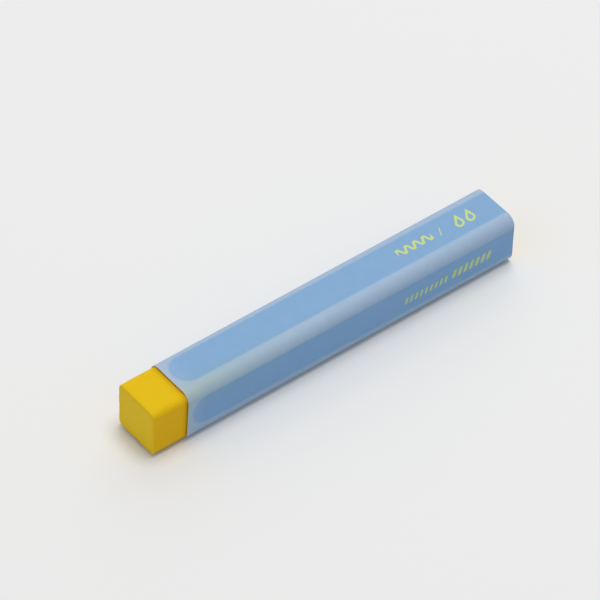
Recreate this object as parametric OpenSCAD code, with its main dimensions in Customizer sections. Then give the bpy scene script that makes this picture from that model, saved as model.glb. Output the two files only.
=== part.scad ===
// Square watercolor pastel: a moulded stick of pigment, wrapped in a printed paper
// sleeve that is glued along its back and leaves one end of the stick bare.
// The stick lies along X with its bare end towards -X, and the sleeve rests on Z = 0.

/* [Stick] */
// Length of the stick
stick_l = 70; // [50:0.5:110]
// Width and height of the stick's square section
stick_w = 8.8; // [7:0.1:14]
// Radius of the four long edges, as the mould leaves them
long_edge_r = 1.05; // [0.7:0.05:1.6]
// Radius of the edges round both end faces
end_edge_r = 0.25; // [0.1:0.05:0.3]

/* [Paper sleeve] */
// Length of stick that stands out of the sleeve
bare_l = 6.3; // [2:0.1:20]
// Thickness of the paper
paper_t = 0.12; // [0.08:0.01:0.2]
// Clearance between the stick's flat sides and the flap under the seam
flap_clear = 0.06; // [0.02:0.01:0.15]
// Clearance between the stick's long edges and the paper folded round them
fold_clear = 0.025; // [0.01:0.005:0.06]

/* [Glued seam] */
// Width of the glued overlap
lap_w = 3; // [1.5:0.1:3.6]
// Height over which the paper steps in to pass under the overlap
step_h = 0.6; // [0.3:0.1:0.9]

/* [Hidden] */
$fn = 64;

// The inner flap fills most of the gap between the stick and the wrap.
wrap_gap = flap_clear + paper_t;
sleeve_in_w = stick_w + 2 * wrap_gap;
sleeve_w = sleeve_in_w + 2 * paper_t;
sleeve_l = stick_l - bare_l;

// The paper's inner fold radius is the one that clears the stick's long edge by
// fold_clear, measured along the section's diagonal.
fold_in_r = long_edge_r + (sqrt(2) * wrap_gap - fold_clear) / (sqrt(2) - 1);
fold_out_r = fold_in_r + paper_t;

// The seam's step and overlap are centred on the back of the section.
step_y = -(step_h + lap_w) / 2;
lap_y = step_y + step_h;
lap_end_y = lap_y + lap_w;

stick_color = [0.91, 0.75, 0.1];
sleeve_color = [0.55, 0.68, 0.81];

// Rectangle with round corners, centred.
module round_rect(w, h, r) {
    square([w, h - 2 * r], center = true);
    square([w - 2 * r, h], center = true);
    for (x = [-1, 1], y = [-1, 1])
        translate([x * (w / 2 - r), y * (h / 2 - r)])
            circle(r);
}

// Stands a section up in the YZ plane and runs it along X from x0 for a length l.
module along_x(x0, l) {
    translate([x0, 0, 0])
        rotate([90, 0, 90])
            linear_extrude(height = l)
                children();
}

// One long edge of the stick: a post of the edge's radius with rolled rims.
module edge_post() {
    rotate([0, 90, 0])
        rotate_extrude()
            intersection() {
                round_rect(2 * long_edge_r, stick_l, end_edge_r);
                translate([0, -stick_l])
                    square([long_edge_r, 2 * stick_l]);
            }
}

// The full height of the stick between two long edges, with rolled end edges.
module edge_slab() {
    rotate([90, 0, 0])
        linear_extrude(height = stick_w - 2 * long_edge_r, center = true)
            round_rect(stick_l, stick_w, end_edge_r);
}

// The moulded stick, rounded along every edge.
module pastel_stick() {
    edge_at = stick_w / 2 - long_edge_r;
    color(stick_color)
        translate([0, 0, sleeve_w / 2]) {
            for (turn = [0, 90])
                rotate([turn, 0, 0])
                    edge_slab();
            for (y = [-1, 1], z = [-1, 1])
                translate([0, y * edge_at, z * edge_at])
                    edge_post();
        }
}

// The flap that steps in by the paper's thickness and lies glued under the seam.
// Its points run up the outside of the paper and down the inside.
module inner_flap() {
    out = sleeve_w / 2;
    mid = out - paper_t;
    in = mid - paper_t;
    polygon([
        [out, step_y],
        [mid, lap_y],
        [mid, lap_end_y],
        [in, lap_end_y],
        [in, lap_y],
        [mid, step_y]
    ]);
}

// The paper's section: once round the stick, open at the step, closed by the flap.
module wrap_section() {
    difference() {
        round_rect(sleeve_w, sleeve_w, fold_out_r);
        round_rect(sleeve_in_w, sleeve_in_w, fold_in_r);
        translate([sleeve_in_w / 2, step_y])
            square([2 * paper_t, step_h]);
    }
    inner_flap();
}

// The paper sleeve, cut flush with the far end of the stick.
module paper_sleeve() {
    color(sleeve_color)
        translate([0, 0, sleeve_w / 2])
            along_x(stick_l / 2 - sleeve_l, sleeve_l)
                wrap_section();
}

pastel_stick();
paper_sleeve();
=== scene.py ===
import math

import bpy
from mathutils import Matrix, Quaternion, Vector


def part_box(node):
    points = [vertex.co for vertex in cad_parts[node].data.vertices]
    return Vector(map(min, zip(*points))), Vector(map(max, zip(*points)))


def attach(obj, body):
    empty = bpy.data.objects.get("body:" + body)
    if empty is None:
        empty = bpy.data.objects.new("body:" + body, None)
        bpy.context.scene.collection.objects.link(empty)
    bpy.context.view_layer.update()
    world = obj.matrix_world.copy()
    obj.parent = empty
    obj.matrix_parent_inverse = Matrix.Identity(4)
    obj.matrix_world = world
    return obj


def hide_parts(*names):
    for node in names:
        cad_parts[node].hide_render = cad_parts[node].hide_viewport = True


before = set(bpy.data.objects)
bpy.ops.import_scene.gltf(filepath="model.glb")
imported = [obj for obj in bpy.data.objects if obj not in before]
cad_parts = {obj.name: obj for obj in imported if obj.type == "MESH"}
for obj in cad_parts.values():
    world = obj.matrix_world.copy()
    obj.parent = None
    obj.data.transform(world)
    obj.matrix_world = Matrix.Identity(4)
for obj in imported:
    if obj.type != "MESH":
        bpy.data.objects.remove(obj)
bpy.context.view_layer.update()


# --- Stick -------------------------------------------------------------------------
# The drawing stick is pigment and filler bound with water-soluble wax and gum. It is
# pressed in a smooth square mould, so its long edges are round and its skin is matt.
# Its bare end is paler, partly from a little dust and partly as painted light, and it is paler
# towards its edges.

MM = 0.001
NEAR = 0.001 * MM
SMOOTH_ANGLE = math.radians(40)
LONG_EDGE_RADIUS = 1.05 * MM
LONG_EDGE_SEGMENTS = 9
END_EDGE_RADIUS = 0.25 * MM
END_EDGE_SEGMENTS = 4
RUBBED_EDGE_RADIUS = 0.35 * MM
BARE_LENGTH = 6.3 * MM
FINE_SPACING = 0.3 * MM
COARSE_SPACING = 6 * MM
SKIN_UNEVENNESS = 0.025 * MM
SKIN_NOISE_SIZE = 2.2 * MM
EDGE_WEAR = 0.06 * MM
WEAR_REACH = 1.2 * MM
WEAR_NOISE_SIZE = 0.8 * MM
WEAR_NOISE_CONTRAST = 1.6

stick_low, stick_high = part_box("pastel_stick")
stick_centre = (stick_low + stick_high) / 2
stick_half = (stick_high - stick_low) / 2

bpy.ops.object.select_all(action="DESELECT")
bpy.ops.mesh.primitive_cube_add(size=2, location=stick_centre)
stick = bpy.context.object
stick.name = "pressed_stick"
stick.scale = stick_half
bpy.ops.object.transform_apply(location=True, rotation=True, scale=True)


def select_edges(piece, wanted):
    """Selects only the edges for which wanted(end, other end) is true, and enters edit mode."""
    bpy.ops.object.mode_set(mode="EDIT")
    bpy.ops.mesh.select_mode(type="EDGE")
    bpy.ops.mesh.select_all(action="DESELECT")
    bpy.ops.object.mode_set(mode="OBJECT")
    points = piece.data.vertices
    for edge in piece.data.edges:
        edge.select = wanted(*(points[i].co for i in edge.vertices))
    bpy.ops.object.mode_set(mode="EDIT")


def cut_across(axis, places):
    """Cuts the piece in edit mode by planes square to one axis."""
    normal = [0, 0, 0]
    normal[axis] = 1
    for place in places:
        point = [0, 0, 0]
        point[axis] = place
        bpy.ops.mesh.select_all(action="SELECT")
        bpy.ops.mesh.bisect(plane_co=point, plane_no=normal)


def spread(low, high, spacing):
    """Gives even places between two ends, about the spacing apart, ends included."""
    steps = max(1, round((high - low) / spacing))
    return [low + (high - low) * k / steps for k in range(steps + 1)]


select_edges(stick, lambda a, b: abs(a.x - b.x) > stick_half.x)
bpy.ops.mesh.bevel(offset=LONG_EDGE_RADIUS, segments=LONG_EDGE_SEGMENTS, affect="EDGES")
bpy.ops.object.mode_set(mode="OBJECT")
select_edges(stick, lambda a, b: abs(a.x - b.x) < NEAR)
bpy.ops.mesh.bevel(offset=END_EDGE_RADIUS, segments=END_EDGE_SEGMENTS, affect="EDGES")
bare_low = stick_low.x + END_EDGE_RADIUS
bare_high = stick_low.x + BARE_LENGTH + 2 * FINE_SPACING
cut_across(0, spread(bare_low, bare_high, FINE_SPACING)[1:])
cut_across(0, spread(bare_high, stick_high.x - END_EDGE_RADIUS, COARSE_SPACING)[1:-1])
for axis in (1, 2):
    flat_low = stick_low[axis] + LONG_EDGE_RADIUS
    flat_high = stick_high[axis] - LONG_EDGE_RADIUS
    cut_across(axis, spread(flat_low, flat_high, FINE_SPACING)[1:-1])
bpy.ops.object.mode_set(mode="OBJECT")

# The lower edge of the bare end is rubbed rounder than the others
for v in stick.data.vertices:
    inward = RUBBED_EDGE_RADIUS - (v.co.x - stick_low.x)
    upward = RUBBED_EDGE_RADIUS - (v.co.z - stick_low.z)
    reach = math.hypot(inward, upward)
    if min(inward, upward) > 0 and reach > RUBBED_EDGE_RADIUS:
        v.co.x += inward * (1 - RUBBED_EDGE_RADIUS / reach)
        v.co.z += upward * (1 - RUBBED_EDGE_RADIUS / reach)


def edge_depth(point):
    """Gives how far a point of the skin is from the nearest edge of the square bar."""
    offsets = point - stick_centre
    return sorted(half - abs(offset) for offset, half in zip(offsets, stick_half))[1]


worn = stick.vertex_groups.new(name="worn_edges")
for v in stick.data.vertices:
    near_end = v.co.x < bare_high
    weight = max(0, 1 - edge_depth(v.co) / WEAR_REACH) if near_end else 0
    worn.add([v.index], weight, "REPLACE")
skin_noise = bpy.data.textures.new("skin_noise", "CLOUDS")
skin_noise.noise_scale = SKIN_NOISE_SIZE
skin_noise.noise_depth = 2
wear_noise = bpy.data.textures.new("wear_noise", "CLOUDS")
wear_noise.noise_scale = WEAR_NOISE_SIZE
wear_noise.noise_depth = 3
wear_noise.contrast = WEAR_NOISE_CONTRAST
for name, texture, strength, group in (
    ("uneven_skin", skin_noise, SKIN_UNEVENNESS, ""),
    ("worn_edges", wear_noise, EDGE_WEAR, "worn_edges"),
):
    dent = stick.modifiers.new(name, "DISPLACE")
    dent.texture = texture
    dent.texture_coords = "LOCAL"
    dent.strength = strength
    dent.mid_level = 1
    dent.vertex_group = group
    bpy.ops.object.modifier_apply(modifier=name)
bpy.ops.object.shade_smooth_by_angle(angle=SMOOTH_ANGLE)

PIGMENT = (0.78, 0.505, 0.004, 1)
# Painted shade: the upright sides are given a deeper orange than the top
SHADED_SIDE_PIGMENT = (0.80, 0.46, 0.004, 1)
STREAK_PIGMENT = (0.70, 0.43, 0.004, 1)
# Painted shade: a deeper orange next to the sleeve's mouth, where the sleeve shades the stick
MOUTH_SHADE_PIGMENT = (0.60, 0.36, 0.004, 1)
# A paler colour, laid on in a random mottle and within about half a millimetre of every edge
PALE_PIGMENT = (0.84, 0.60, 0.03, 1)
# Partly dust and partly painted light: the bare end face is made paler than the rest
DUST_AND_LIGHT_PIGMENT = (0.81, 0.57, 0.02, 1)

# Reaches and widths are in millimetres, and a strength is the most of a colour laid on
SHADED_SIDE_REACH = 0.5
MOUTH_SHADE_REACH = 1.2
PALE_EDGE_WIDTH = 0.5
PALE_EDGE_STRENGTH = 0.2
DUST_AND_LIGHT_REACH = 0.1
STREAK_STRENGTH = 0.2
MOTTLE_STRENGTH = 0.08
STREAK_STRETCH = (0.06, 1, 1)
SKIN_GRAIN = {"Mottle scale": 900, "Grain scale": 6000}
STREAK_GRAIN = {"Mottle scale": 2500, "Grain scale": 7000}
STREAK_RELIEF = 0.5
SKIN_BUMP = {"Strength": 0.3, "Distance": 0.02 * MM}

# A patchiness turns a noise of 0 to 1 into an amount: its gain, then what is added
DUST_AND_LIGHT_PATCHES = (0.5, 0.65)


def node_adder(tree):
    """Gives a function that adds a node, sets its fields and fills or joins its inputs."""

    def add(kind, inputs, **fields):
        node = tree.nodes.new(kind)
        for name, value in fields.items():
            setattr(node, name, value)
        for key, value in inputs.items():
            if isinstance(value, bpy.types.NodeSocket):
                tree.links.new(value, node.inputs[key])
            else:
                node.inputs[key].default_value = value
        return node

    return add


def calculator(tree):
    """Gives a function that adds one Math node and returns its result."""
    add = node_adder(tree)

    def calc(operation, *values, clamp=False):
        sockets = dict(enumerate(values))
        node = add("ShaderNodeMath", sockets, operation=operation, use_clamp=clamp)
        return node.outputs[0]

    return calc


def fader(tree):
    """Gives a function that falls evenly from 1 at no distance to 0 at a reach."""
    calc = calculator(tree)

    def fade(distance, reach):
        return calc("SUBTRACT", 1, calc("DIVIDE", distance, reach), clamp=True)

    return fade


def colour_mixer(tree):
    """Gives a function that lays one colour over another by a factor."""
    add = node_adder(tree)

    def mix(factor, under, over, blend="MIX"):
        sockets = {0: factor, 6: under, 7: over}
        return add("ShaderNodeMix", sockets, data_type="RGBA", blend_type=blend).outputs[2]

    return mix


def start_group(name, inputs, outputs):
    """Starts a shader node group with named inputs, given with their defaults, and outputs."""
    group = bpy.data.node_groups.new(name, "ShaderNodeTree")
    for label, default in inputs.items():
        kind = "NodeSocketVector" if default is None else "NodeSocketFloat"
        socket = group.interface.new_socket(label, in_out="INPUT", socket_type=kind)
        if default is not None:
            socket.default_value = default
    for label in outputs:
        group.interface.new_socket(label, in_out="OUTPUT", socket_type="NodeSocketFloat")
    given = group.nodes.new("NodeGroupInput").outputs
    result = group.nodes.new("NodeGroupOutput").inputs
    return group, given, result


def start_material(name, roughness, gloss):
    """Starts a material and gives it with its tree and its shader."""
    material = bpy.data.materials.new(name)
    material.use_nodes = True
    tree = material.node_tree
    shader = next(n for n in tree.nodes if n.type == "BSDF_PRINCIPLED")
    shader.inputs["Roughness"].default_value = roughness
    shader.inputs["Specular IOR Level"].default_value = gloss
    return material, tree, shader


def make_grain_group():
    """Fine surface grain: a slow mottle of 0 to 1, and a bump height that follows it."""
    group, given, result = start_group(
        "fine_grain", {"Vector": None, "Mottle scale": 1, "Grain scale": 5}, ("Mottle", "Height")
    )
    add = node_adder(group)
    calc = calculator(group)
    octaves = {"Detail": 4, "Roughness": 0.6}
    mottle, grain = (
        add(
            "ShaderNodeTexNoise",
            {"Vector": given["Vector"], "Scale": given[label], **octaves},
        ).outputs[0]
        for label in ("Mottle scale", "Grain scale")
    )
    mottle_rise = 0.6
    group.links.new(mottle, result["Mottle"])
    group.links.new(calc("MULTIPLY_ADD", mottle, mottle_rise, grain), result["Height"])
    return group


fine_grain = make_grain_group()


def place_group(tree, group, where, values):
    """Places a node group in a material, read at the given place, and gives its results."""
    node = node_adder(tree)("ShaderNodeGroup", {}, node_tree=group)
    tree.links.new(where, node.inputs["Vector"])
    for label, value in values.items():
        node.inputs[label].default_value = value
    return node.outputs


def make_pigment():
    """Matt pigment with faint mould streaks, paler edges, and ends made paler by dust and painted
    light.

    Painted shade makes it a little deeper on its upright sides, and deepest next to the sleeve's
    mouth, where the sleeve shades it."""
    material, tree, shader = start_material("pressed_pigment", roughness=0.6, gloss=0.08)
    add = node_adder(tree)
    calc = calculator(tree)
    fade = fader(tree)
    mix = colour_mixer(tree)
    place = add("ShaderNodeTexCoord", {}).outputs["Object"]
    lengthwise = add("ShaderNodeMapping", {0: place, "Scale": STREAK_STRETCH}).outputs[0]
    grain = place_group(tree, fine_grain, place, SKIN_GRAIN)
    streaks = place_group(tree, fine_grain, lengthwise, STREAK_GRAIN)
    mottle = grain["Mottle"]
    from_centre = add(
        "ShaderNodeVectorMath", {0: place, 1: stick_centre}, operation="SUBTRACT"
    ).outputs[0]
    offsets = add("ShaderNodeSeparateXYZ", {0: from_centre}).outputs
    # Depth in millimetres below each of the three pairs of faces
    depths = [
        calc("DIVIDE", calc("SUBTRACT", half, calc("ABSOLUTE", offset)), MM)
        for offset, half in zip(offsets, stick_half)
    ]
    # The second smallest depth is how far the nearest edge is
    low = calc("MINIMUM", depths[0], depths[1])
    high = calc("MAXIMUM", depths[0], depths[1])
    nearest_edge = calc("MAXIMUM", low, calc("MINIMUM", high, depths[2]))
    # Paler within a patchy half millimetre or so of every edge
    pale_edge_reach = calc("MULTIPLY_ADD", mottle, PALE_EDGE_WIDTH, PALE_EDGE_WIDTH / 2)
    pale_edges = fade(nearest_edge, pale_edge_reach)
    # Painted shade: a deeper orange laid on the upright sides
    painted_side_shade = fade(depths[1], SHADED_SIDE_REACH)
    # Partly dust and partly painted light: patches of paler colour on the bare end face
    on_end = fade(depths[0], DUST_AND_LIGHT_REACH)
    dust_and_light = calc("MULTIPLY", on_end, calc("MULTIPLY_ADD", mottle, *DUST_AND_LIGHT_PATCHES), clamp=True)
    # Painted shade: deeper over the last stretch before the sleeve's mouth
    from_mouth = calc("DIVIDE", calc("SUBTRACT", BARE_LENGTH - stick_half.x, offsets[0]), MM)
    painted_mouth_shade = calc("POWER", fade(from_mouth, MOUTH_SHADE_REACH), 2)
    colour = mix(painted_side_shade, PIGMENT, SHADED_SIDE_PIGMENT)
    colour = mix(calc("MULTIPLY", streaks["Mottle"], STREAK_STRENGTH), colour, STREAK_PIGMENT)
    colour = mix(calc("MULTIPLY", mottle, MOTTLE_STRENGTH), colour, PALE_PIGMENT)
    colour = mix(painted_mouth_shade, colour, MOUTH_SHADE_PIGMENT)
    colour = mix(calc("MULTIPLY", pale_edges, PALE_EDGE_STRENGTH), colour, PALE_PIGMENT)
    colour = mix(dust_and_light, colour, DUST_AND_LIGHT_PIGMENT)
    height = calc("MULTIPLY_ADD", streaks["Height"], STREAK_RELIEF, grain["Height"])
    bump = add("ShaderNodeBump", {"Height": height, **SKIN_BUMP})
    tree.links.new(colour, shader.inputs["Base Color"])
    tree.links.new(bump.outputs[0], shader.inputs["Normal"])
    return material


stick.data.materials.append(make_pigment())
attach(stick, "root")
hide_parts("pastel_stick")


# --- Sleeve ------------------------------------------------------------------------
# One strip of thin coated paper, printed flat on one side, then folded round the stick
# and glued over its own inner flap along the back. Its far end is cut square.

PAPER_THICKNESS = 0.12 * MM
FOLD_RADIUS = 1.724 * MM
LAP_WIDTH = 3 * MM
STEP_HEIGHT = 0.6 * MM
BENDS_PER_FOLD = 12
ROW_HEIGHT = 1 * MM
FOLD_MARGIN = 0.15 * MM
COLUMN_WIDTH = 1.3 * MM
MOUTH_SLANT = 0.036
MOUTH_PIVOT = 0.6
SLACK = 0.035 * MM
SLACK_NOISE_SIZE = 9 * MM

sleeve_low, sleeve_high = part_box("paper_sleeve")
sleeve_length = sleeve_high.x - sleeve_low.x
sleeve_width = sleeve_high.z - sleeve_low.z
step_z = (sleeve_width - STEP_HEIGHT - LAP_WIDTH) / 2
lap_z = step_z + STEP_HEIGHT
lap_top_z = lap_z + LAP_WIDTH
flat_width = sleeve_width - 2 * FOLD_RADIUS
bend_turn = math.pi / 2 / BENDS_PER_FOLD
bend_length = 2 * (FOLD_RADIUS - PAPER_THICKNESS / 2) * math.sin(bend_turn / 2)
step_angle = math.atan2(PAPER_THICKNESS, STEP_HEIGHT)
step_length = math.hypot(PAPER_THICKNESS, STEP_HEIGHT)


def plan_strip():
    """Gives the strip's plain rows, its creases as (place, turn), its flats as (start, end),
    and its width. Places are distances across it from the inner flap's free edge."""
    rows = spread(0, LAP_WIDTH, ROW_HEIGHT)[1:-1]
    creases = [(LAP_WIDTH, -step_angle), (LAP_WIDTH + step_length, step_angle)]
    flats = []
    place = LAP_WIDTH + step_length
    for run in (step_z - FOLD_RADIUS, flat_width, flat_width, flat_width):
        rows += spread(place + FOLD_MARGIN, place + run - FOLD_MARGIN, ROW_HEIGHT)
        flats.append((place, place + run))
        place += run
        for bend in range(BENDS_PER_FOLD + 1):
            share = 0.5 if bend in (0, BENDS_PER_FOLD) else 1
            creases.append((place + bend_length * bend, bend_turn * share))
        place += bend_length * BENDS_PER_FOLD
    width = place + sleeve_width - FOLD_RADIUS - lap_z
    rows += spread(place + FOLD_MARGIN, width, ROW_HEIGHT)[:-1]
    return rows, creases, flats, width


plain_rows, creases, flats, strip_width = plan_strip()

# The strip starts in the plane of its inner flap, which lies one thickness under the lap
bpy.ops.object.select_all(action="DESELECT")
bpy.ops.mesh.primitive_grid_add(
    x_subdivisions=round(sleeve_length / COLUMN_WIDTH),
    y_subdivisions=1,
    size=1,
    location=(
        (sleeve_low.x + sleeve_high.x) / 2,
        sleeve_high.y - 1.5 * PAPER_THICKNESS,
        lap_top_z - strip_width / 2,
    ),
    rotation=(-math.pi / 2, 0, 0),
)
sleeve = bpy.context.object
sleeve.name = "printed_sleeve"
sleeve.scale = (sleeve_length, strip_width, 1)
bpy.ops.object.transform_apply(location=True, rotation=True, scale=True)
bpy.ops.object.mode_set(mode="EDIT")
cut_across(2, [lap_top_z - place for place in plain_rows + [crease for crease, turn in creases]])
bpy.ops.object.mode_set(mode="OBJECT")

sheet = sleeve.data
places = [lap_top_z - v.co.z for v in sheet.vertices]

# Each crease turns all of the strip that lies beyond it
for crease, turn in creases:
    hinge = next(v for v in sheet.vertices if abs(places[v.index] - crease) < NEAR)
    hinge_y, hinge_z = hinge.co.y, hinge.co.z
    for v in sheet.vertices:
        v.select = places[v.index] > crease + NEAR
    for part in (*sheet.edges, *sheet.polygons):
        part.select = all(sheet.vertices[i].select for i in part.vertices)
    bpy.ops.object.mode_set(mode="EDIT")
    bpy.ops.transform.rotate(
        value=turn, orient_axis="X", center_override=(0, hinge_y, hinge_z)
    )
    bpy.ops.object.mode_set(mode="OBJECT")

# The mouth is not cut quite square: it leans back from the bare end towards the top
for v in sheet.vertices:
    if v.co.x < sleeve_low.x + NEAR:
        v.co.x += MOUTH_SLANT * (v.co.z - MOUTH_PIVOT * sleeve_high.z)

# The print is laid out on the flat strip, in millimetres: along it, then across it
layout = sheet.uv_layers[0]
layout.name = "flat_paper"
for loop in sheet.loops:
    v = loop.vertex_index
    layout.data[loop.index].uv = (sheet.vertices[v].co.x / MM, places[v] / MM)

# The flats between the folds give a little, and the folds and the glued lap stay true
slack = sleeve.vertex_groups.new(name="slack_flats")
for start, end in flats[1:]:
    for v in sheet.vertices:
        if start < places[v.index] < end:
            rise = math.sin(math.pi * (places[v.index] - start) / (end - start))
            slack.add([v.index], rise, "REPLACE")
slack_noise = bpy.data.textures.new("slack_noise", "CLOUDS")
slack_noise.noise_scale = SLACK_NOISE_SIZE
slack_noise.noise_depth = 1
give = sleeve.modifiers.new("slack", "DISPLACE")
give.texture = slack_noise
give.texture_coords = "LOCAL"
give.strength = SLACK
give.mid_level = 1
give.vertex_group = "slack_flats"
bpy.ops.object.modifier_apply(modifier="slack")

PAPER_BLUE = (0.308, 0.452, 0.646, 1)
PANEL_BLUE = (0.193, 0.376, 0.637, 1)
# Painted light: the top is tinted paler and less blue than the sides
TOP_LIGHT_TINT = (1.11, 1.035, 0.985, 1)
INK_GREEN = (0.53, 0.675, 0.19, 1)
INK_SPECK = (0.25, 0.42, 0.32, 1)
WORN_PRINT = (0.55, 0.63, 0.72, 1)
SMEAR = (0.62, 0.50, 0.10, 1)
WASH = (1.0, 0.98, 0.3, 1)
RAW_PAPER = (0.78, 0.79, 0.77, 1)
RAW_PAPER_SHADE = (0.70, 0.70, 0.67, 1)

# Places and reaches are in millimetres on the flat strip, as in its layout
TOP_BACK = flats[3][1] / MM
TOP_MIDDLE = TOP_BACK - flat_width / MM / 2
HANDLED_REACH = 4
SMEAR_REACH = 1
RIM_SMEAR_REACH = 0.8
WASH_LINE = TOP_BACK - 6.7
WASH_WIDTH = 3.8
WASH_REACH = 34
TOP_LIGHT_REACH = 5.6
TOP_LIGHT_EDGE = 1.6
INK_EDGE = 0.05
INK_COVER = 0.94
SPECK_COVER = 0.6
FOLD_WEAR = 0.14
PRINT_SKEW = 0.007
SKEW_CENTRE = -24
FOLD_PITCH = (flat_width + bend_length * BENDS_PER_FOLD) / MM
FOLD_CENTRE = TOP_BACK + FOLD_PITCH / 2 - flat_width / MM / 2
PRINT_GRAIN = {"Mottle scale": 0.5, "Grain scale": 7}
PRINT_CLOUD = {"Mottle scale": 1.6, "Grain scale": 3}
FIBRE_GRAIN = {"Mottle scale": 2, "Grain scale": 9}
PRINT_BUMP = {"Strength": 0.2, "Distance": 0.006 * MM}
FIBRE_BUMP = {"Strength": 0.4, "Distance": 0.01 * MM}
WORN_PATCHES = (1.6, -0.9)
HANDLED_PATCHES = (0.18, 0.04)
SMEAR_STRENGTH = 0.2
RIM_SMEAR_PATCHES = (0.6, 0.3)
WASH_PATCHES = (0.4, 0.15)
SLOW_TONE = (0.09, 0.955)
FINE_TONE = (0.03, 0.976)
SHEEN_PATCHES = (0.16, 0.42)
PANELS = {
    "Pitch": 8.68,
    "Centre": TOP_BACK - 2.51,
    "Half width": 2.75,
    "End": -27.83,
    "Soft edge": 0.4,
}
FOLDS = {
    "Pitch": FOLD_PITCH,
    "Centre": FOLD_CENTRE,
    "Half width": 0.5,
    "End": -60,
    "Soft edge": 0.9,
}


def flat_length(tree, along, across):
    """Gives the length of a step on the flat strip from its two parts."""
    add = node_adder(tree)
    step = add("ShaderNodeCombineXYZ", {0: along, 1: across}).outputs[0]
    return add("ShaderNodeVectorMath", {0: step}, operation="LENGTH").outputs["Value"]


def end_mask(group, inside, soft_edge, result):
    """Ends a mask group: 1 well inside an outline, 0 well outside it, and soft between."""
    calc = calculator(group)
    mask = calc("ADD", calc("DIVIDE", inside, soft_edge), 0.5, clamp=True)
    group.links.new(mask, result["Mask"])


def make_panel_group():
    """A row of long panels side by side, each with one round end, that run off the other."""
    group, given, result = start_group(
        "round_ended_panels",
        {"Vector": None, "Pitch": 9, "Centre": 0, "Half width": 2, "End": 0, "Soft edge": 0.05},
        ("Mask",),
    )
    add = node_adder(group)
    calc = calculator(group)
    along, across, unused = add("ShaderNodeSeparateXYZ", {0: given["Vector"]}).outputs
    turns = calc("DIVIDE", calc("SUBTRACT", across, given["Centre"]), given["Pitch"])
    turns = calc("SUBTRACT", calc("FRACT", calc("ADD", turns, 0.5)), 0.5)
    off_centre = calc("MULTIPLY", turns, given["Pitch"])
    arc_centre = calc("ADD", given["End"], given["Half width"])
    past_arc = calc("MINIMUM", calc("SUBTRACT", along, arc_centre), 0)
    inside = calc("SUBTRACT", given["Half width"], flat_length(group, past_arc, off_centre))
    end_mask(group, inside, given["Soft edge"], result)
    return group


def make_bars_group():
    """A row of slanted ink bars with round ends, standing on a line."""
    group, given, result = start_group(
        "ink_bars",
        {
            "Vector": None,
            "Start": 0,
            "Baseline": 0,
            "Count": 5,
            "Pitch": 1,
            "Bar width": 0.3,
            "Height": 1,
            "Slant": 0.2,
        },
        ("Mask",),
    )
    add = node_adder(group)
    calc = calculator(group)
    along, across, unused = add("ShaderNodeSeparateXYZ", {0: given["Vector"]}).outputs
    rise = calc("SUBTRACT", across, given["Baseline"])
    foot = calc("MULTIPLY_ADD", rise, given["Slant"], given["Start"])
    upright = calc("SUBTRACT", along, foot)
    cell = calc("FLOOR", calc("DIVIDE", upright, given["Pitch"]))
    last = calc("SUBTRACT", given["Count"], 1)
    cell = calc("MINIMUM", calc("MAXIMUM", cell, 0), last)
    middle = calc("MULTIPLY", calc("ADD", cell, 0.5), given["Pitch"])
    aside = calc("SUBTRACT", upright, middle)
    half = calc("MULTIPLY", given["Bar width"], 0.5)
    top = calc("SUBTRACT", given["Height"], half)
    held = calc("MINIMUM", calc("MAXIMUM", rise, half), top)
    past_end = calc("SUBTRACT", rise, held)
    inside = calc("SUBTRACT", half, flat_length(group, aside, past_end))
    end_mask(group, inside, INK_EDGE, result)
    return group


def make_wave_group():
    """A wavy ink line of even width with square ends."""
    group, given, result = start_group(
        "ink_wave",
        {
            "Vector": None,
            "Start": 0,
            "End": 1,
            "Middle": 0,
            "Swing": 0.5,
            "Wavelength": 2,
            "Width": 0.3,
        },
        ("Mask",),
    )
    add = node_adder(group)
    calc = calculator(group)
    along, across, unused = add("ShaderNodeSeparateXYZ", {0: given["Vector"]}).outputs
    run = calc("SUBTRACT", along, given["Start"])
    beat = calc("DIVIDE", 2 * math.pi, given["Wavelength"])
    phase = calc("MULTIPLY", run, beat)
    line = calc("MULTIPLY_ADD", calc("SINE", phase), given["Swing"], given["Middle"])
    slope = calc("MULTIPLY", calc("COSINE", phase), calc("MULTIPLY", beat, given["Swing"]))
    stretch = calc("SQRT", calc("MULTIPLY_ADD", slope, slope, 1))
    off = calc("DIVIDE", calc("ABSOLUTE", calc("SUBTRACT", across, line)), stretch)
    inside = calc("SUBTRACT", calc("MULTIPLY", given["Width"], 0.5), off)
    inside = calc("MINIMUM", inside, calc("MINIMUM", run, calc("SUBTRACT", given["End"], along)))
    end_mask(group, inside, INK_EDGE, result)
    return group


def make_drop_group():
    """The outline of a leaning drop: a round belly, and straight sides to a point."""
    group, given, result = start_group(
        "ink_drop",
        {
            "Vector": None,
            "Along": 0,
            "Across": 0,
            "Radius": 0.8,
            "Height": 2,
            "Slant": 0.2,
            "Width": 0.3,
        },
        ("Mask",),
    )
    add = node_adder(group)
    calc = calculator(group)
    along, across, unused = add("ShaderNodeSeparateXYZ", {0: given["Vector"]}).outputs
    rise = calc("SUBTRACT", across, given["Across"])
    aside = calc("SUBTRACT", along, calc("MULTIPLY_ADD", rise, given["Slant"], given["Along"]))
    aside = calc("ABSOLUTE", aside)
    sine = calc("DIVIDE", given["Radius"], given["Height"])
    cosine = calc("SQRT", calc("SUBTRACT", 1, calc("MULTIPLY", sine, sine)))
    # The straight side touches the belly where the slope of both is the same
    past = calc("GREATER_THAN", calc("MULTIPLY", rise, cosine), calc("MULTIPLY", aside, sine))
    side = calc("ADD", calc("MULTIPLY", aside, cosine), calc("MULTIPLY", rise, sine))
    belly = flat_length(group, aside, rise)
    reach = calc("MULTIPLY_ADD", past, calc("SUBTRACT", side, belly), belly)
    half = calc("MULTIPLY", given["Width"], 0.5)
    off = calc("ABSOLUTE", calc("SUBTRACT", reach, calc("SUBTRACT", given["Radius"], half)))
    end_mask(group, calc("SUBTRACT", half, off), INK_EDGE, result)
    return group


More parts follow.
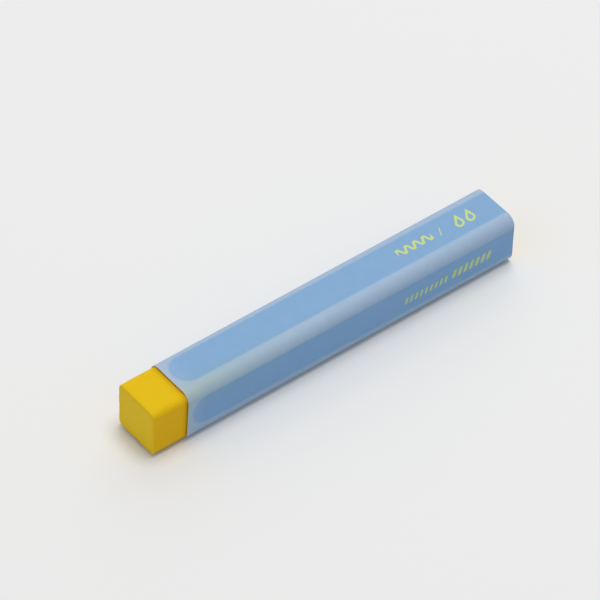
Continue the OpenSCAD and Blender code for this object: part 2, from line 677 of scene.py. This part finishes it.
TOP_LINE = TOP_BACK - 3.5
SIDE_LINE = TOP_BACK - 12.6
WAVE = {
    "Start": 15.4,
    "End": 22.3,
    "Middle": TOP_LINE + 0.8,
    "Swing": 0.55,
    "Wavelength": 1.72,
    "Width": 0.45,
}
SLASH = {
    "Start": 23.35,
    "Baseline": TOP_LINE - 0.1,
    "Count": 1,
    "Pitch": 0.3,
    "Bar width": 0.18,
    "Height": 1.6,
    "Slant": 0.5,
}
FINE_BARS = {
    "Start": 12.9,
    "Baseline": SIDE_LINE,
    "Count": 9,
    "Pitch": 0.98,
    "Bar width": 0.4,
    "Height": 1.3,
    "Slant": 0.3,
}
BOLD_BARS = {
    "Start": 22.3,
    "Baseline": SIDE_LINE,
    "Count": 7,
    "Pitch": 1.15,
    "Bar width": 0.62,
    "Height": 1.7,
    "Slant": 0.3,
}
SPECK = {
    "Start": 17.5,
    "Baseline": TOP_BACK - 7.35,
    "Count": 1,
    "Pitch": 0.5,
    "Bar width": 0.4,
    "Height": 0.42,
    "Slant": 0.5,
}
DROP = {"Across": TOP_LINE + 0.35, "Radius": 0.85, "Height": 1.95, "Slant": 0.2, "Width": 0.4}
DROPS_ALONG = (27.6, 29.8)


def make_printed_paper():
    """Satin coated paper, printed light blue with darker panels and yellow-green marks.

    The print is a little worn at the folds and round the bare end, and painted light makes the top
    paler and less blue. Pigment has smeared on at the mouth, and a thin yellow wash runs along the
    upper front fold."""
    material, tree, shader = start_material("printed_paper", roughness=0.5, gloss=0.25)
    add = node_adder(tree)
    calc = calculator(tree)
    fade = fader(tree)
    mix = colour_mixer(tree)
    flat = add("ShaderNodeUVMap", {}, uv_map="flat_paper").outputs[0]
    along, across, unused = add("ShaderNodeSeparateXYZ", {0: flat}).outputs
    slip = calc("MULTIPLY", calc("SUBTRACT", along, SKEW_CENTRE), PRINT_SKEW)
    square = add("ShaderNodeCombineXYZ", {0: along, 1: calc("ADD", across, slip)}).outputs[0]
    grain = place_group(tree, fine_grain, flat, PRINT_GRAIN)
    cloud = place_group(tree, fine_grain, flat, PRINT_CLOUD)
    panels = make_panel_group()
    bars = make_bars_group()
    drop = make_drop_group()

    colour = mix(place_group(tree, panels, square, PANELS)["Mask"], PAPER_BLUE, PANEL_BLUE)
    marks = place_group(tree, make_wave_group(), flat, WAVE)["Mask"]
    for row in (SLASH, FINE_BARS, BOLD_BARS):
        marks = calc("MAXIMUM", marks, place_group(tree, bars, flat, row)["Mask"])
    for place in DROPS_ALONG:
        outline = place_group(tree, drop, flat, {"Along": place, **DROP})["Mask"]
        marks = calc("MAXIMUM", marks, outline)
    colour = mix(calc("MULTIPLY", marks, INK_COVER), colour, INK_GREEN)
    speck = place_group(tree, bars, flat, SPECK)["Mask"]
    colour = mix(calc("MULTIPLY", speck, SPECK_COVER), colour, INK_SPECK)

    folds = place_group(tree, panels, flat, FOLDS)["Mask"]
    worn = calc("MULTIPLY", folds, calc("MULTIPLY_ADD", cloud["Height"], *WORN_PATCHES, clamp=True))
    colour = mix(calc("MULTIPLY", worn, FOLD_WEAR), colour, WORN_PRINT)

    from_mouth = calc("SUBTRACT", along, sleeve_low.x / MM)
    handled = calc("MULTIPLY_ADD", cloud["Mottle"], *HANDLED_PATCHES)
    handled = calc("MULTIPLY", fade(from_mouth, HANDLED_REACH), handled)
    colour = mix(handled, colour, WORN_PRINT)
    smear = calc("MULTIPLY", cloud["Mottle"], SMEAR_STRENGTH)
    colour = mix(calc("MULTIPLY", fade(from_mouth, SMEAR_REACH), smear), colour, SMEAR)

    off_line = calc("ABSOLUTE", calc("SUBTRACT", across, WASH_LINE))
    wash = calc("POWER", fade(from_mouth, WASH_REACH), 2)
    wash = calc("MULTIPLY", wash, fade(off_line, WASH_WIDTH))
    wash = calc("MULTIPLY", wash, calc("MULTIPLY_ADD", grain["Mottle"], *WASH_PATCHES))
    colour = mix(wash, colour, WASH, "MULTIPLY")

    # Painted light: a paler, less blue tint over the top face and most of its two folds
    off_top = calc("ABSOLUTE", calc("SUBTRACT", across, TOP_MIDDLE))
    painted_top_light = calc("DIVIDE", calc("SUBTRACT", TOP_LIGHT_REACH, off_top), TOP_LIGHT_EDGE, clamp=True)
    colour = mix(painted_top_light, colour, TOP_LIGHT_TINT, "MULTIPLY")

    tone = calc("MULTIPLY_ADD", grain["Mottle"], *SLOW_TONE)
    tone = calc("MULTIPLY", tone, calc("MULTIPLY_ADD", grain["Height"], *FINE_TONE))
    colour = add("ShaderNodeVectorMath", {0: colour, 1: tone}, operation="MULTIPLY").outputs[0]
    roughness = calc("MULTIPLY_ADD", cloud["Mottle"], *SHEEN_PATCHES)
    bump = add("ShaderNodeBump", {"Height": grain["Height"], **PRINT_BUMP})
    tree.links.new(colour, shader.inputs["Base Color"])
    tree.links.new(roughness, shader.inputs["Roughness"])
    tree.links.new(bump.outputs[0], shader.inputs["Normal"])
    return material


def make_raw_paper():
    """The paper's uncoated back and its cut edges, with a soft fibre mottle.

    Pigment has rubbed into the cut edge round the bare end."""
    material, tree, shader = start_material("raw_paper", roughness=0.8, gloss=0.2)
    add = node_adder(tree)
    calc = calculator(tree)
    fade = fader(tree)
    mix = colour_mixer(tree)
    flat = add("ShaderNodeUVMap", {}, uv_map="flat_paper").outputs[0]
    along, across, unused = add("ShaderNodeSeparateXYZ", {0: flat}).outputs
    grain = place_group(tree, fine_grain, flat, FIBRE_GRAIN)
    from_mouth = calc("SUBTRACT", along, sleeve_low.x / MM)
    smear = calc("MULTIPLY_ADD", grain["Mottle"], *RIM_SMEAR_PATCHES)
    colour = mix(grain["Mottle"], RAW_PAPER, RAW_PAPER_SHADE)
    colour = mix(calc("MULTIPLY", fade(from_mouth, RIM_SMEAR_REACH), smear), colour, SMEAR)
    bump = add("ShaderNodeBump", {"Height": grain["Height"], **FIBRE_BUMP})
    tree.links.new(colour, shader.inputs["Base Color"])
    tree.links.new(bump.outputs[0], shader.inputs["Normal"])
    return material


sleeve.data.materials.append(make_printed_paper())
sleeve.data.materials.append(make_raw_paper())
thickness = sleeve.modifiers.new("paper", "SOLIDIFY")
thickness.thickness = PAPER_THICKNESS
thickness.offset = 0
thickness.use_even_offset = True
thickness.material_offset = 1
thickness.material_offset_rim = 1
bpy.ops.object.modifier_apply(modifier="paper")
bpy.ops.object.shade_smooth_by_angle(angle=SMOOTH_ANGLE)
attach(sleeve, "root")
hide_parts("paper_sleeve")


# --- Table top ---------------------------------------------------------------------
# A plain pale sheet that the pastel lies on.

TABLE_WHITE = (0.83, 0.83, 0.83, 1)
TABLE_SIZE = 6

bpy.ops.object.select_all(action="DESELECT")
bpy.ops.mesh.primitive_plane_add(size=TABLE_SIZE, location=(0, 0, 0))
table = bpy.context.object
table.name = "table_top"
board, board_tree, board_shader = start_material("pale_board", roughness=0.7, gloss=0.1)
board_shader.inputs["Base Color"].default_value = TABLE_WHITE
table.data.materials.append(board)


# --- Light -------------------------------------------------------------------------
# An oval soft box hangs nearly overhead in a pale, evenly lit room. Two larger and fainter
# ones, one behind on the right and one on the left, soften the shadows.

TOP_DIRECTION = (0.145, 0.015, 1)
TOP_SIZE = (0.55, 0.67)
TOP_LEVEL = 0.484
TOP_COLOUR = (1.0, 0.99, 0.97)
BACK_DIRECTION = (0.62, 0.62, 0.6)
BACK_SIZE = (1.2, 1.2)
BACK_LEVEL = 0.2
BACK_COLOUR = (1.0, 1.0, 1.0)
LEFT_DIRECTION = (-0.9, 0.0, 0.6)
LEFT_SIZE = (1.2, 1.2)
LEFT_LEVEL = 0.08
LEFT_COLOUR = (1.0, 1.0, 1.0)
LAMP_DISTANCE = 1.2
ROOM_LEVEL = 0.44
ROOM_COLOUR = (0.985, 1.0, 1.01, 1)


def hang_soft_box(name, direction, size, level, colour):
    """Hangs an oval soft box; a level of 1 makes a white sheet facing it render white."""
    data = bpy.data.lights.new(name, "AREA")
    data.shape = "ELLIPSE"
    data.size, data.size_y = size
    data.energy = level * (math.pi * LAMP_DISTANCE) ** 2
    data.color = colour
    box = bpy.data.objects.new(name, data)
    towards = Vector(direction).normalized()
    box.location = towards * LAMP_DISTANCE
    tilt = math.atan2(-towards.y, math.hypot(towards.x, towards.z))
    lean = math.atan2(towards.x, towards.z)
    box.rotation_euler = (tilt, lean, 0)
    bpy.context.scene.collection.objects.link(box)


hang_soft_box("top_box", TOP_DIRECTION, TOP_SIZE, TOP_LEVEL, TOP_COLOUR)
hang_soft_box("back_box", BACK_DIRECTION, BACK_SIZE, BACK_LEVEL, BACK_COLOUR)
hang_soft_box("left_box", LEFT_DIRECTION, LEFT_SIZE, LEFT_LEVEL, LEFT_COLOUR)

world = bpy.data.worlds.new("room")
world.use_nodes = True
room = world.node_tree.nodes["Background"]
room.inputs["Color"].default_value = ROOM_COLOUR
room.inputs["Strength"].default_value = ROOM_LEVEL
bpy.context.scene.world = world
bpy.context.scene.view_settings.view_transform = "Standard"


# --- Camera ------------------------------------------------------------------------
# It looks down on the bare end from the left, with a long lens.

CAMERA_AZIMUTH = math.radians(-39.8)
CAMERA_ELEVATION = math.radians(45.4)
CAMERA_ROLL = math.radians(2.1)
CAMERA_DISTANCE = 698.3 * MM
CAMERA_AIM = Vector((3.25, 8.6, 0)) * MM
CAMERA_LENS = 270
CAMERA_SENSOR = 36

camera_data = bpy.data.cameras.new("camera")
camera_data.lens = CAMERA_LENS
camera_data.sensor_width = CAMERA_SENSOR
camera_data.clip_start = 0.05
camera_data.clip_end = 20
camera = bpy.data.objects.new("camera", camera_data)
back = Vector(
    (
        math.sin(CAMERA_AZIMUTH) * math.cos(CAMERA_ELEVATION),
        -math.cos(CAMERA_AZIMUTH) * math.cos(CAMERA_ELEVATION),
        math.sin(CAMERA_ELEVATION),
    )
)
camera.location = CAMERA_AIM + back * CAMERA_DISTANCE
level = (-back).to_track_quat("-Z", "Y")
camera.rotation_euler = (level @ Quaternion((0, 0, 1), CAMERA_ROLL)).to_euler()
bpy.context.scene.collection.objects.link(camera)
bpy.context.scene.camera = camera
